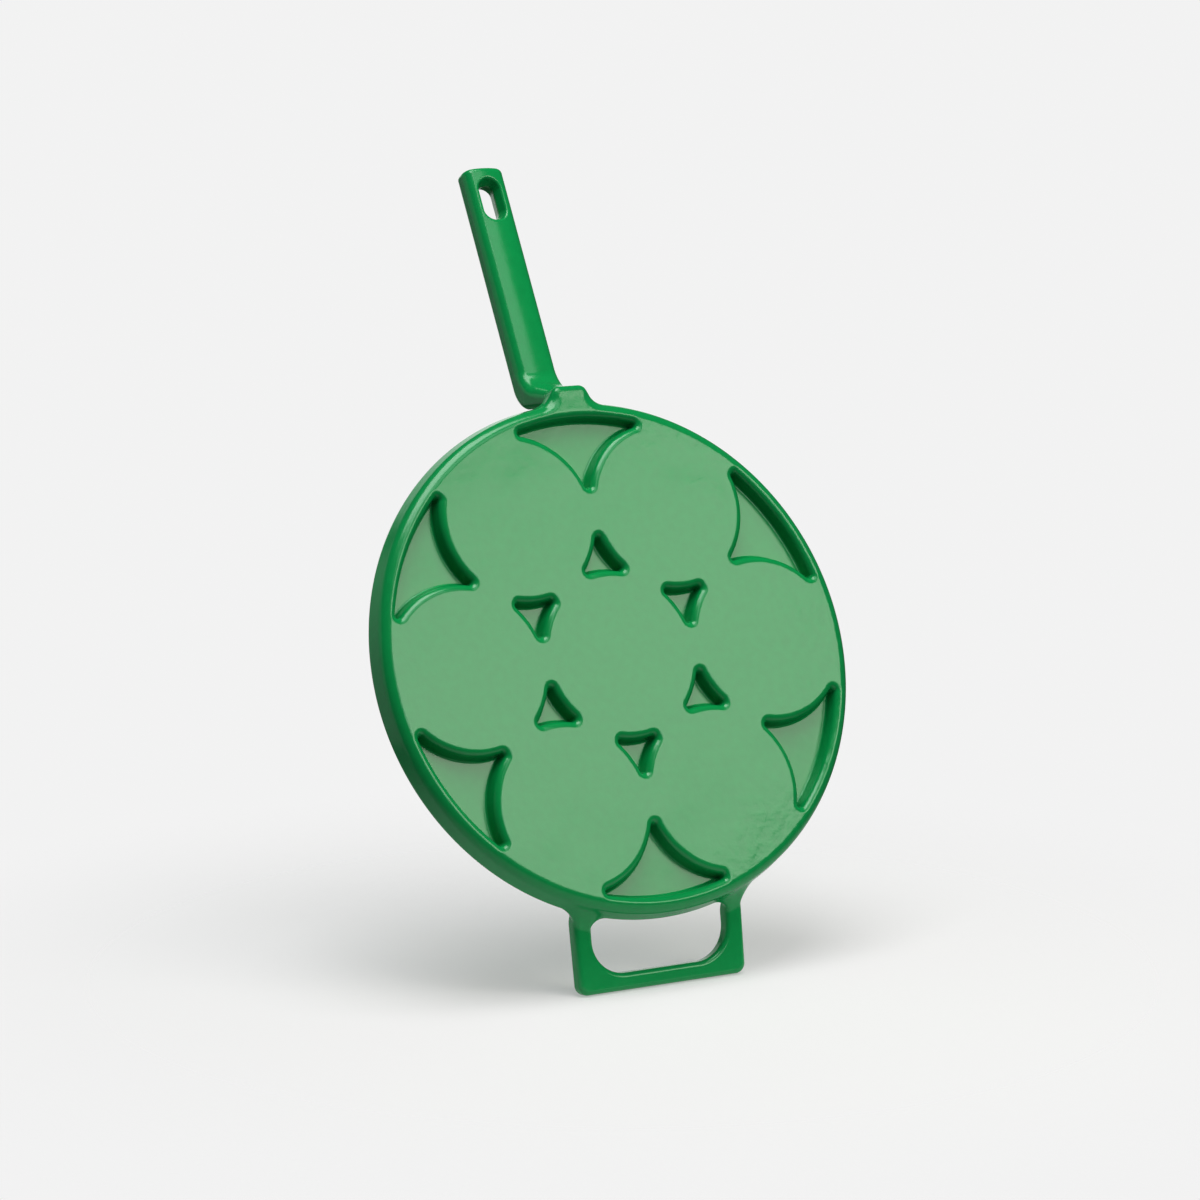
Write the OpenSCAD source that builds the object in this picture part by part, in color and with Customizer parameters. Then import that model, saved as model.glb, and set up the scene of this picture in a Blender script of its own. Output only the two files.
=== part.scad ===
// Pancake pan with seven wells, a long handle with a hanging slot and a helper handle.
// One iron casting, drawn in the sections that a moulder would name. The sections meet face to face.
// The pan lies flat as it does on a stove: its underside is at z = 0 and the cooking side faces up.
// The origin is the middle of the underside, and the long handle points along +X.

/* [Pan] */
// Outer diameter over the rim
pan_d = 260; // [250:1:300]
// Height of the rim
rim_h = 14; // [13.5:0.5:20]
// Width of the rim at its top
rim_top_w = 4.4; // [3:0.1:6]
// Rounding along the outside of the rim's top
rim_round = 3; // [1:0.1:3]
// How far the rim leans out between the base edge and its top
rim_flare = 2; // [1:0.1:4]
// Rounding along the edge of the underside
base_round = 3.5; // [2:0.1:3.8]
// Height of the flat land between the wells
land_z = 12.5; // [12:0.1:13]

/* [Wells] */
// Width of the land between two neighbouring wells
well_gap = 7.3; // [5:0.1:20]
// How far a well's wall leans in between the land and the well's floor
well_lean = 4.4; // [1:0.1:10]
// Iron under a well
floor_t = 4.5; // [3.5:0.1:6]

/* [Underside recesses] */
// Depth of the recesses between the wells
recess_depth = 8; // [5:0.1:8.5]
// Least width of the web between the round feet of two neighbouring wells
foot_web = 3.5; // [2:0.1:6]
// Least width between an outer well's foot and the rounding of the base edge
foot_border = 1.3; // [0.8:0.1:3]
// Radius of the recess tips at the underside
tip_r = 4; // [3.5:0.1:4.5]
// How far the recess walls lean in between the underside and the recess floor
recess_lean = 3.4; // [1:0.1:3.4]
// Width between a large recess and the rounding of the base edge
recess_border = 1.4; // [1:0.1:3]

/* [Tab and neck] */
// Distance from the rim to the end of the tab
tab_l = 7.3; // [5:0.1:12]
// Width of the tab at its end
tab_w = 20; // [16:0.5:26]
// Height of the tab
tab_h = 11; // [8:0.5:12]
// Rounding of the tab's corners
tab_corner_r = 4; // [3.9:0.1:6]
// Radius of the hollow curve from the tab's corner into the rim
tab_hollow_r = 12; // [8:0.5:20]
// Width of the neck where it leaves the tab
neck_w = 17; // [14:0.5:20]
// Thickness of the neck where it leaves the tab
neck_t = 9; // [8:0.5:12]
// How far the neck leans outward as it rises
neck_lean = 24; // [15:1:30]
// Inner radius of the bend from the neck into the handle
bend_r = 3; // [2:0.5:8]

/* [Long handle] */
// Width of the handle
handle_w = 22; // [20:0.5:28]
// Thickness of the handle
handle_t = 12.5; // [10:0.5:16]
// Rounding of the handle's long edges
handle_round = 4; // [2:0.1:4.5]
// Distance from the pan's middle to the end of the handle
handle_end = 265.2; // [230:0.1:330]
// Slope of the handle above the level
handle_slope = 7.8; // [3:0.1:12]
// Height of the underside of the handle, where the neck bends into it
handle_low_z = 27; // [24:0.1:34]
// Rounding of the handle's end corners
handle_corner_r = 3; // [1:0.1:4]

/* [Hanging slot] */
// Length of the hanging slot at its narrowest
slot_l = 19.4; // [14:0.1:40]
// Width of the hanging slot at its narrowest
slot_w = 8.6; // [7:0.1:11]
// How far the slot's walls lean out between its middle and the handle's underside
slot_lean = 2.4; // [0.5:0.1:2.5]
// How far they lean out between its middle and the handle's top
slot_top_lean = 1.3; // [0.5:0.1:2.5]
// Iron between the slot and the end of the handle, at the slot's middle
slot_wall = 8.4; // [6:0.1:12]

/* [Helper handle] */
// Width of the helper handle
helper_w = 93; // [84:1:110]
// Distance from the rim to the end of the helper handle
helper_l = 31.3; // [26:0.1:40]
// Thickness of the helper handle
helper_t = 8; // [6:0.5:10]
// Slope of the helper handle above the level
helper_slope = 13.3; // [8:0.1:16]
// Height of the helper handle's middle plane at the rim
helper_z = 18.1; // [17:0.1:19]
// Rounding of the helper handle's outer corners
helper_corner_r = 5; // [4:0.5:12]
// Rounding of the helper handle's outer edges
helper_round = 2.5; // [1:0.1:2.8]
// Width of the finger gap
gap_w = 75; // [60:1:76]
// Bar left between the finger gap and the end of the helper handle
helper_bar = 8.6; // [7:0.1:14]
// Rounding of the finger gap's corners
gap_corner_r = 17; // [5:0.5:17]

/* [Hidden] */
$fn = 96;
enamel_green = [0.05, 0.45, 0.24];

// Rim: its outer radius, and the radius of the flat underside, where plate and rim meet
pan_r = pan_d / 2;
plate_r = pan_r - rim_flare - base_round;
// Radius of the rim's wall at its steepest point above the base rounding
wall_foot_r = plate_r + base_round;

// Wells: six round the middle one, the closest packing of equal circles
well_count = 6;
well_step = 360 / well_count;
half_step = well_step / 2;
// The feet fill the plate, so the distance between wells and the feet follow the plate's radius
well_pitch = (plate_r - foot_border + foot_web / 2) * 2 / 3;
foot_r = (well_pitch - foot_web) / 2;
well_d = well_pitch - well_gap;
well_floor_d = well_d - 2 * well_lean;
well_x = well_pitch * cos(half_step);
well_y = well_pitch * sin(half_step);
// Recesses: distance of a tip's centre from the line that joins two neighbouring wells
tip_reach = sqrt(pow(foot_r + tip_r, 2) - pow(well_y, 2));
inner_centroid = well_pitch / (2 * cos(half_step));
inner_tip = well_x - tip_reach - inner_centroid;
outer_tip_x = well_x + tip_reach;
recess_r = plate_r - recess_border;
// Angle between an outer well and the centre of a large recess's outer tip, seen from the middle
corner_r = recess_r - tip_r;
corner_a = acos((pow(corner_r, 2) + pow(well_pitch, 2) - pow(foot_r + tip_r, 2))
                / (2 * corner_r * well_pitch));
corner_angle = half_step - corner_a;
// A tip is this much rounder than a circle that only touches the walls beside it, so it meets them
tip_run = 0.02;
// A cutter starts this far outside the face that it opens
over = 1;

// Tab: the middles of its corners, and of the hollow curves that touch a corner and the rim
tab_end = pan_r + tab_l;
tab_corner = [tab_end - tab_corner_r, tab_w / 2 - tab_corner_r];
// The hollow curves run this far into the rim's wall
hollow_run = 0.3;
hollow_reach = wall_foot_r - hollow_run + tab_hollow_r;
hollow_angle = atan2(tab_corner.y, tab_corner.x) + acos(
    (pow(hollow_reach, 2) + pow(norm(tab_corner), 2) - pow(tab_corner_r + tab_hollow_r, 2))
    / (2 * hollow_reach * norm(tab_corner)));
hollow = hollow_reach * [cos(hollow_angle), sin(hollow_angle)];

// Neck: it leaves the tab's end at this height
neck_foot_z = tab_h - 3;
// Corner in side view where the neck's lower face meets the handle's underside
armpit = [tab_end + (handle_low_z - neck_foot_z) * tan(neck_lean), handle_low_z];
// The bend turns by this angle, about a centre below the handle's underside
bend_turn = 90 - neck_lean - handle_slope;
bend_reach = bend_r * tan(bend_turn / 2);
arm_dir = [cos(handle_slope), sin(handle_slope)];
bend_centre = armpit + bend_reach * arm_dir + bend_r * [arm_dir.y, -arm_dir.x];
// Length of the neck's leg, from the bend down to the tab
leg_l = (armpit.y - neck_foot_z) / cos(neck_lean) - bend_reach;
// The leg runs on into the tab by this much
leg_sink = 5;
// It runs this far into the bend, and is wider than the bend by a fifth of that all round, to fuse
leg_fuse = 0.1;

// Long handle: its straight part starts past the bend, its length is counted along its slope
arm_base = bend_centre + (bend_r + handle_t / 2) * [-arm_dir.y, arm_dir.x];
arm_l = (handle_end - arm_base.x) / cos(handle_slope);
slot_x = arm_l - slot_wall - slot_l / 2;

// Helper handle, its length is counted along its slope
helper_len = helper_l / cos(helper_slope) - helper_t / 2 * tan(helper_slope);
// Width of each of its two legs
helper_leg_w = (helper_w - gap_w) / 2;
// It reaches this far inward from the rim's outermost line, because the rim curves away beside it
helper_root = pan_r - sqrt(pow(plate_r, 2) - pow(helper_w / 2, 2)) + helper_corner_r;
helper_low_z = helper_z - helper_t / 2 / cos(helper_slope);
helper_high_z = helper_z + helper_t / 2 / cos(helper_slope);
// Radius of the hollow curve from the rim's wall to the handle's lower face
root_r = 8.5;
// Height on the rim's wall where that curve starts
root_z = max(base_round + 1, helper_low_z - root_r);

// Points of an arc about (x, y), from angle a to angle b
function arc(x, y, r, a, b, steps = 8) =
    [for (i = [0 : steps]) let (t = a + (b - a) * i / steps) [x + r * cos(t), y + r * sin(t)]];

module well_places() {
    children();
    for (i = [0 : well_count - 1]) rotate(half_step + i * well_step) translate([well_pitch, 0]) children();
}

// Bowl of a well: a flat floor, a soft corner and a leaning wall that runs on past the land
module well_bowl() {
    bowl_h = land_z - floor_t;
    turn = atan2(bowl_h, well_lean);
    corner = min(2, bowl_h / 3);
    rotate_extrude()
        polygon(concat(
            [[0, floor_t]],
            arc(well_floor_d / 2 - corner * tan(turn / 2), floor_t + corner, corner, -90, turn - 90, 5),
            [[well_d / 2 + over * well_lean / bowl_h, land_z + over], [0, land_z + over]]
        ));
}

// A cone whose radius changes by the walls' lean from the underside to the recess floor
module lean_cone(r, lean) {
    slope = lean / recess_depth;
    translate([0, 0, -over])
        cylinder(h = recess_depth + over, r1 = r - slope * over, r2 = r + lean);
}

// Rounded tip of a recess
module tip_cone(x, y) {
    slope = recess_lean / recess_depth;
    translate([x, y, -over])
        cylinder(h = recess_depth + over, r1 = tip_r + tip_run + slope * over,
                 r2 = tip_r + tip_run - recess_lean);
}

// Block over the part of a recess that lies between its tips
module recess_core(points) {
    translate([0, 0, -over]) linear_extrude(recess_depth + over) polygon(points);
}

// Small recess between the middle well and two outer wells
module small_recess() {
    tips = [for (i = [0 : 2]) [inner_centroid + inner_tip * cos(i * 120), inner_tip * sin(i * 120)]];
    difference() {
        recess_core([tips[0], [well_x, -well_y], tips[2], [0, 0], tips[1], [well_x, well_y]]);
        lean_cone(foot_r, recess_lean);
        for (s = [-1, 1]) translate([well_x, s * well_y]) lean_cone(foot_r, recess_lean);
    }
    for (t = tips) tip_cone(t[0], t[1]);
}

// Large recess between two outer wells and the rim
module large_recess() {
    cx = corner_r * cos(corner_angle);
    cy = corner_r * sin(corner_angle);
    spread = (pan_r + over) / corner_r;
    difference() {
        intersection() {
            recess_core([[outer_tip_x, 0], [well_x, -well_y], [cx, -cy], [cx * spread, -cy * spread],
                         [cx * spread, cy * spread], [cx, cy], [well_x, well_y]]);
            lean_cone(recess_r, -recess_lean);
        }
        for (s = [-1, 1]) translate([well_x, s * well_y]) lean_cone(foot_r, recess_lean);
    }
    tip_cone(outer_tip_x, 0);
    for (s = [-1, 1]) tip_cone(cx, s * cy);
}

// Plate with the wells on its cooking side and the recesses between them on its underside
module well_plate() {
    color(enamel_green)
    difference() {
        cylinder(h = land_z, r = plate_r);
        well_places() well_bowl();
        for (i = [0 : well_count - 1]) rotate(i * well_step) {
            small_recess();
            large_recess();
        }
    }
}

// Section of the rim, from the plate's edge to the outer wall
module rim_section() {
    polygon(concat(
        [[plate_r, 0]],
        arc(plate_r, base_round, base_round, -90, 0, 6),
        arc(pan_r - rim_round, rim_h - rim_round, rim_round, 0, 90, 6),
        [[pan_r - rim_top_w, rim_h], [plate_r, land_z]]
    ));
}

module rim() {
    color(enamel_green) rotate_extrude() rim_section();
}

// Everything inside the rim's outer wall, for cutting what meets it
module rim_body() {
    rotate_extrude() polygon(concat(
        [[0, -over], [plate_r, -over], [plate_r, 0]],
        arc(plate_r, base_round, base_round, -90, 0, 6),
        arc(pan_r - rim_round, rim_h - rim_round, rim_round, 0, 90, 6),
        [[0, rim_h]]
    ));
}

// Plan of the tab before its hollow curves are cut
module tab_plan() {
    c = tab_corner;
    h = hollow;
    polygon([[plate_r - base_round, 0], [h.x, h.y], [c.x, c.y], [c.x, -c.y], [h.x, -h.y]]);
    for (s = [-1, 1]) translate([c.x, s * c.y]) circle(tab_corner_r);
    translate([c.x - 1, -c.y]) square([tab_corner_r + 1, 2 * c.y]);
}

// Side view of the tab, with the base rounding at its end
module tab_side() {
    polygon(concat(
        [[plate_r - base_round, 0]],
        arc(tab_end - base_round, base_round, base_round, -90, 0, 6),
        [[tab_end, tab_h], [plate_r - base_round, tab_h]]));
}

// Cutter for a hollow curve, which flares at the underside by the base rounding
module hollow_cutter() {
    flare = tab_hollow_r + base_round;
    rotate_extrude() polygon(concat(
        [[0, -over], [flare, -over]],
        arc(flare, base_round, base_round, -90, -180, 6),
        [[tab_hollow_r, tab_h + over], [0, tab_h + over]]));
}

// Block of the tab, with hollow curves into the rim
module tab_block() {
    difference() {
        intersection() {
            linear_extrude(tab_h) tab_plan();
            rotate([90, 0, 0]) linear_extrude(2 * plate_r, center = true) tab_side();
        }
        for (s = [-1, 1]) translate([hollow.x, s * hollow.y]) hollow_cutter();
    }
}

// Rounded section of a bar, w wide and t thick
module bar_section(w, t, r) {
    square([w, t - 2 * r], center = true);
    square([w - 2 * r, t], center = true);
    for (sx = [-1, 1], sy = [-1, 1])
        translate([sx * (w / 2 - r), sy * (t / 2 - r)]) circle(r, $fn = 32);
}

// Leg of the neck, which narrows from the bend down to the tab
module neck_leg() {
    low = leg_l + leg_sink;
    wide = handle_w + leg_fuse * 0.4;
    thick = handle_t + leg_fuse * 0.4;
    back = -bend_r - handle_t;
    translate([bend_centre.x, 0, bend_centre.y]) rotate([0, neck_lean, 0])
    intersection() {
        translate([-bend_r - handle_t / 2, 0, -low]) rotate([0, 0, 90])
            linear_extrude(low + leg_fuse) bar_section(wide, thick, handle_round);
        rotate([90, 0, 0]) linear_extrude(2 * handle_w, center = true)
            polygon([[0, over], [0, -low], [-bend_r - neck_t, -low], [-bend_r - neck_t, -leg_l],
                     [back - leg_fuse, 0], [back - leg_fuse, over]]);
        rotate([90, 0, 90]) linear_extrude(4 * handle_t, center = true)
            polygon([[-wide / 2, over], [-wide / 2, 0], [-neck_w / 2, -leg_l], [-neck_w / 2, -low],
                     [neck_w / 2, -low], [neck_w / 2, -leg_l], [wide / 2, 0], [wide / 2, over]]);
    }
}

// Bend from the leg into the handle
module neck_bend() {
    translate([bend_centre.x, 0, bend_centre.y]) rotate([90, 0, 0]) rotate(90 + handle_slope)
        rotate_extrude(angle = bend_turn) translate([bend_r + handle_t / 2, 0])
        rotate(90) bar_section(handle_w, handle_t, handle_round);
}

// Tab that carries the underside outward under the neck
module handle_tab() {
    color(enamel_green)
    difference() {
        union() {
            tab_block();
            intersection() {
                neck_leg();
                cylinder(h = rim_h, r = handle_end);
            }
        }
        rim_body();
    }
}

// Neck that rises from the tab and bends into the handle
module handle_neck() {
    color(enamel_green)
    union() {
        difference() {
            neck_leg();
            cylinder(h = rim_h, r = handle_end);
        }
        neck_bend();
    }
}

// Long handle with its hanging slot
module long_handle() {
    color(enamel_green)
    translate([arm_base.x, 0, arm_base.y]) rotate([0, -handle_slope, 0])
    difference() {
        intersection() {
            rotate([90, 0, 90]) linear_extrude(arm_l) bar_section(handle_w, handle_t, handle_round);
            linear_extrude(2 * handle_t, center = true) handle_plan();
        }
        translate([slot_x, 0, 0]) slot_half(slot_top_lean);
        translate([slot_x, 0, 0]) mirror([0, 0, 1]) slot_half(slot_lean);
    }
}

// Plan of the handle with its end corners rounded
module handle_plan() {
    c = handle_corner_r;
    half = handle_w / 2;
    translate([0, -half]) square([arm_l - c, handle_w]);
    translate([0, -half + c]) square([arm_l, handle_w - 2 * c]);
    for (s = [-1, 1]) translate([arm_l - c, s * (half - c)]) circle(c);
}

// Half of the slot, from its narrow middle to past the handle's face
module slot_half(lean) {
    straight = slot_l - slot_w;
    depth = handle_t / 2 + over;
    wide = slot_w / 2 + lean * depth / (handle_t / 2);
    for (s = [-1, 1]) translate([s * straight / 2, 0]) cylinder(h = depth, r1 = slot_w / 2, r2 = wide);
    rotate([90, 0, 90]) linear_extrude(straight, center = true)
        polygon([[-slot_w / 2, 0], [slot_w / 2, 0], [wide, depth], [-wide, depth]]);
}

// Disc with rounded edges, for a corner of the helper handle
module soft_disc(r) {
    half = helper_t / 2;
    rotate_extrude($fn = 32) polygon(concat(
        [[0, -half]],
        arc(r - helper_round, helper_round - half, helper_round, -90, 0, 4),
        arc(r - helper_round, half - helper_round, helper_round, 0, 90, 4),
        [[0, half]]));
}

// Plan of the finger gap, x along the handle from the rim's outer edge
module gap_plan() {
    g = gap_corner_r;
    half = gap_w / 2;
    gap_end = helper_len - helper_bar;
    start = -helper_root - helper_len;
    translate([start, -half]) square([gap_end - g - start, gap_w]);
    translate([start, -half + g]) square([gap_end - start, gap_w - 2 * g]);
    for (s = [-1, 1]) translate([gap_end - g, s * (half - g)]) circle(g);
}

// Flat plate of the helper handle, with the finger gap cut through
module helper_plate() {
    c = helper_corner_r;
    difference() {
        hull() for (x = [-helper_root, helper_len - c], s = [-1, 1])
            translate([x, s * (helper_w / 2 - c)]) soft_disc(c);
        linear_extrude(2 * helper_t, center = true) gap_plan();
    }
}

// Roots under the legs, with a hollow curve from the rim's wall to the handle's lower face
module helper_roots() {
    reach = wall_foot_r + root_r;
    intersection() {
        rotate_extrude() polygon(concat(
            [[plate_r, root_z]],
            arc(reach, root_z, root_r, 180, 110, 6),
            [[reach - root_r * cos(70), helper_z], [plate_r, helper_z]]));
        for (s = [-1, 1]) translate([0, s * (gap_w + helper_leg_w) / 2 - helper_leg_w / 2, 0])
            cube([pan_r + helper_l, helper_leg_w, helper_z]);
    }
}

// Space over the cooking side, up to a slope from the rim's top to the top of the helper handle
module over_rim() {
    rise = helper_high_z - rim_h + 1;
    inner = pan_r - rim_top_w;
    rotate_extrude() polygon([[0, rim_h], [inner, rim_h], [inner + rise, rim_h + rise],
                              [inner + rise, 3 * rim_h], [0, 3 * rim_h]]);
}

// Helper handle, opposite the long handle
module helper_handle() {
    color(enamel_green)
    mirror([1, 0, 0])
    difference() {
        union() {
            translate([pan_r, 0, helper_z]) rotate([0, -helper_slope, 0]) helper_plate();
            helper_roots();
        }
        rim_body();
        over_rim();
    }
}

well_plate();
rim();
handle_tab();
handle_neck();
long_handle();
helper_handle();
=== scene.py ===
import math

import bpy
import bmesh
import numpy as np
from mathutils import Matrix, Vector
from mathutils.geometry import delaunay_2d_cdt


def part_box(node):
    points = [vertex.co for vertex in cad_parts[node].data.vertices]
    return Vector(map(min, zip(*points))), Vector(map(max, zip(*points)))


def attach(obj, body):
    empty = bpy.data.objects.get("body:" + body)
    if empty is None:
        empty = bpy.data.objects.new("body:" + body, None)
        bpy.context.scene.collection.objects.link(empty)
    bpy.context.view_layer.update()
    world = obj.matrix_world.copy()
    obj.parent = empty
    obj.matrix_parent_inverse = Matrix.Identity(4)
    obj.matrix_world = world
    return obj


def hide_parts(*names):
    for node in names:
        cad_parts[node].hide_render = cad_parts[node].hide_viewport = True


# Pancake pan of green enamelled iron, seen from its underside as it stands on its helper handle.
# Shapes are worked out in millimetres in the pan's own frame, and scaled to metres when a mesh is made.
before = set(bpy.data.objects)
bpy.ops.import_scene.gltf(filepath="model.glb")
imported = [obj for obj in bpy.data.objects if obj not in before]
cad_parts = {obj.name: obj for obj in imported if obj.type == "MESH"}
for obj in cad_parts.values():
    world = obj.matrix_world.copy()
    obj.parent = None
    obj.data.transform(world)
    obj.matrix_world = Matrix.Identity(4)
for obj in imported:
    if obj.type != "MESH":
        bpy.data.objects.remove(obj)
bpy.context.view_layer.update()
print("frame loaded:", ", ".join(sorted(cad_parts)))


def farCorner(node):
    # Upper corner of a CAD node's box, in mm
    return np.array(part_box(node)[1]) * 1000


rimHigh = farCorner("rim")
plateHigh = farCorner("well_plate")
helperHigh = farCorner("helper_handle")


def between(a, b, share):
    # Value that runs from a to b as the share runs from 0 to 1
    return a + (b - a) * share


def softStep(v, a, b):
    # Rises from 0 at a to 1 at b, level at both ends: three times t squared less twice t cubed
    t = np.clip((v - a) / (b - a), 0, 1)
    return t * t * (3 - 2 * t)


def roundJoin(a, b, r):
    # Union of two distances, with a hollow curve of radius r where they meet
    return np.maximum(r, np.minimum(a, b)) - np.hypot(np.maximum(r - a, 0), np.maximum(r - b, 0))


def roundKeep(a, b, r):
    # Common part of two distances, with the edge between them rounded to radius r
    return -roundJoin(-a, -b, r)


def roundCorner(u, v, r):
    # Distance to a corner of radius r, where u and v say how far a point lies past the corner's centre
    return np.hypot(np.maximum(u, 0), np.maximum(v, 0)) + np.minimum(np.maximum(u, v), 0) - r


def roundTongue(u, v, half, r, deep=100):
    # Distance to a strip that ends at u = 0 with corners of radius r; its other end lies inside the pan
    return roundCorner(np.abs(u + deep) - deep + r, np.abs(v) - half + r, r)


# The pan's body, in mm
pan = {
    "radius": rimHigh[0],
    "height": rimHigh[2],
    "plateRadius": plateHigh[0],
    "land": plateHigh[2],  # height of the cooking side's flat
    "baseRound": 4.6,  # underside into wall
    "wallLean": 2.65,  # how far the wall spreads between underside and lip
    "lipRound": 3.0,
    "lipHeight": 12.45,  # where the wall is at its widest
    "lipInner": 125.6,
    "lipInnerRound": 1.0,
    "cavityRound": 1.0,  # land into the lip's inner wall
    "columns": 720,  # points round the plate
}
# The tab under the long handle, in mm; spans are places along X, or across it from the middle
tab = {
    "end": 137.6,
    "half": 10.4,
    "corner": 5.0,
    "hollow": 13.0,  # radius of the arcs that lead out of the disc
    "top": 11.0,
    "topSpan": (-2.5, 1.5),  # from the pan's radius: where the lip's top drops to the tab's
    "topSides": (13, 22),
    "lean": 0.3,
    "leanSpan": (126, 134),
    "baseRound": 3.0,
    "baseRoundSpan": (130, 135.5),
}


def outline(x, y):
    # Distance in plan to the pan with its tab: a disc and a rounded tab, joined by hollow arcs
    # that touch the disc and the tab's corner arc
    radius, c, h = pan["radius"], tab["corner"], tab["hollow"]
    corner = np.array([tab["end"] - c, tab["half"] - c])
    reach, far = radius + h, np.hypot(*corner)
    cosine = (reach**2 + far**2 - (c + h) ** 2) / (2 * reach * far)
    turn = math.atan2(corner[1], corner[0]) + math.acos(cosine)
    centre = reach * np.array([math.cos(turn), math.sin(turn)])
    toDisc, toTab = -centre / reach, (corner - centre) / (c + h)
    ya = np.abs(y)
    vx, vy = x - centre[0], ya - centre[1]
    inHollow = (toDisc[0] * vy - toDisc[1] * vx >= 0) & (vx * toTab[1] - vy * toTab[0] >= 0)
    block = roundTongue(x - tab["end"], ya, tab["half"], c)
    return np.where(inHollow, h - np.hypot(vx, vy), np.minimum(np.hypot(x, y) - radius, block))


def body(p):
    # The pan without its handles. Its wall is the outline, drawn in by a lean that ends at the lip. Base
    # and lip are rounded, and the hollow over the land, a widening cone, is taken out
    x, y, z = p[..., 0], p[..., 1], p[..., 2]
    r = np.hypot(x, y)
    lean = between(pan["wallLean"], tab["lean"], softStep(x, *tab["leanSpan"]))
    slant = math.hypot(1, pan["wallLean"] / pan["lipHeight"])
    wall = (outline(x, y) + lean * (1 - z / pan["lipHeight"])) / slant
    aside = softStep(np.abs(y), *tab["topSides"])
    drop = softStep(r - pan["radius"], *tab["topSpan"]) * (1 - aside) * (x > 0)
    top = between(pan["height"], tab["top"], drop)
    low = between(pan["baseRound"], tab["baseRound"], softStep(x, *tab["baseRoundSpan"]))
    solid = roundKeep(roundKeep(wall, -z, low), z - top, pan["lipRound"])
    steep = (pan["lipInner"] - pan["plateRadius"]) / (pan["height"] - pan["land"])
    inner = r - pan["plateRadius"] - steep * (z - pan["land"])
    hollow = roundKeep(inner, pan["land"] - z, pan["cavityRound"])
    return roundKeep(solid, -hollow, pan["lipInnerRound"])


# The long handle, in mm; its length runs from the bend's centre
handle = {
    "half": 11.5,
    "thick": 12.5,
    "round": 3.0,  # upper edges
    "underRound": 4.7,  # lower edges
    "roundBlend": 4.0,  # thickness over which one rounding gives way to the other
    "slope": math.radians(7.8),
    "length": 120.0,
    "endRound": 2.4,
    "endCrown": 0.5,  # crowns: how far a face's sides stand back from its middle
    "crownUnder": 1.6,
    "crownTop": 0.3,
    "slotWall": 8.4,  # iron between the slot and the handle's end
    "slotLength": 19.4,
    "slotWidth": 8.6,
    "slotLeanUnder": 2.4,  # about how far each side of the slot leans out at the underside
    "slotLeanTop": 1.3,
    "slotWaist": 0.35,  # softness of its narrowest place
    "slotRound": 1.1,
}
# The neck that rises from the tab and bends into the long handle, in mm
neck = {
    "bendRadius": 3.0,
    "armpit": 6.0,  # fillet inside the bend
    "bendX": 147.82,
    "bendZ": 24.254,
    "lean": math.radians(24),
    "length": 19.13,
    "sink": 5.0,  # how far it runs on into the tab
    "half": 8.5,
    "thick": 9.0,
    "round": 3.5,
    "join": 2.5,  # fillet round its foot
}
armDir = np.array([math.cos(handle["slope"]), math.sin(handle["slope"])])
armUp = np.array([-armDir[1], armDir[0]])
legDir = np.array([-math.sin(neck["lean"]), -math.cos(neck["lean"])])
legBack = np.array([-math.cos(neck["lean"]), math.sin(neck["lean"])])


def fromBend(p, direction):
    # In side view, how far a point lies from the bend's centre in a direction
    return (p[..., 0] - neck["bendX"]) * direction[0] + (p[..., 2] - neck["bendZ"]) * direction[1]


def bar(p):
    # A rounded bar with crowned faces: straight, then round the bend, then down the leg, which narrows
    # towards the tab. Its inner face turns the bend in a fillet, its outer face in an arc
    along, down = fromBend(p, armDir), fromBend(p, legDir)
    arm, leg = fromBend(p, armUp), fromBend(p, legBack)
    y = np.abs(p[..., 1])
    bend, thick = neck["bendRadius"], handle["thick"]
    t = np.clip(down / neck["length"], 0, 1)
    onLeg = (down > 0) & ((along < 0) | (leg - arm > 0))
    half = np.where(onLeg, between(handle["half"], neck["half"], t), handle["half"])
    legOut = leg - bend - thick - (neck["thick"] - thick) * t
    turning = np.hypot(p[..., 0] - neck["bendX"], p[..., 2] - neck["bendZ"]) - bend - thick
    outer = np.where((along < 0) & (down < 0), turning, np.where(onLeg, legOut, arm - bend - thick))
    inner = roundJoin(bend - arm, bend - leg, neck["armpit"])
    blend = softStep(inner - outer, -handle["roundBlend"], handle["roundBlend"])
    armEdge = between(handle["round"], handle["underRound"], blend)
    edge = np.where(onLeg, between(armEdge, neck["round"], t), armEdge)
    across = (y / half) ** 2
    deep = np.maximum(inner + handle["crownUnder"] * across, outer + handle["crownTop"] * across) + edge
    section = roundCorner(y - half + edge, deep, edge)
    ends = np.where(onLeg, down - neck["length"] - neck["sink"],
                    along - handle["length"] + handle["endCrown"] * across)
    return roundKeep(section, ends, handle["endRound"])


def slot(p):
    # Hanging slot: a round-ended hole that is narrowest halfway through and widens along a hyperbola
    halfThick = handle["thick"] / 2
    depth = fromBend(p, armUp) - neck["bendRadius"] - halfThick
    middle = handle["length"] - handle["slotWall"] - handle["slotLength"] / 2
    straight = (handle["slotLength"] - handle["slotWidth"]) / 2
    away = np.hypot(depth, handle["slotWaist"]) - handle["slotWaist"]
    lean = np.where(depth < 0, handle["slotLeanUnder"], handle["slotLeanTop"]) / halfThick
    wide = handle["slotWidth"] / 2 + lean * away
    return np.hypot(np.maximum(np.abs(fromBend(p, armDir) - middle) - straight, 0), p[..., 1]) - wide


def handleCasting(p):
    # Pan and long handle in one: the bar, less the slot, grown into the tab and the lip
    return roundJoin(body(p), roundKeep(bar(p), -slot(p), handle["slotRound"]), neck["join"])


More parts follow.
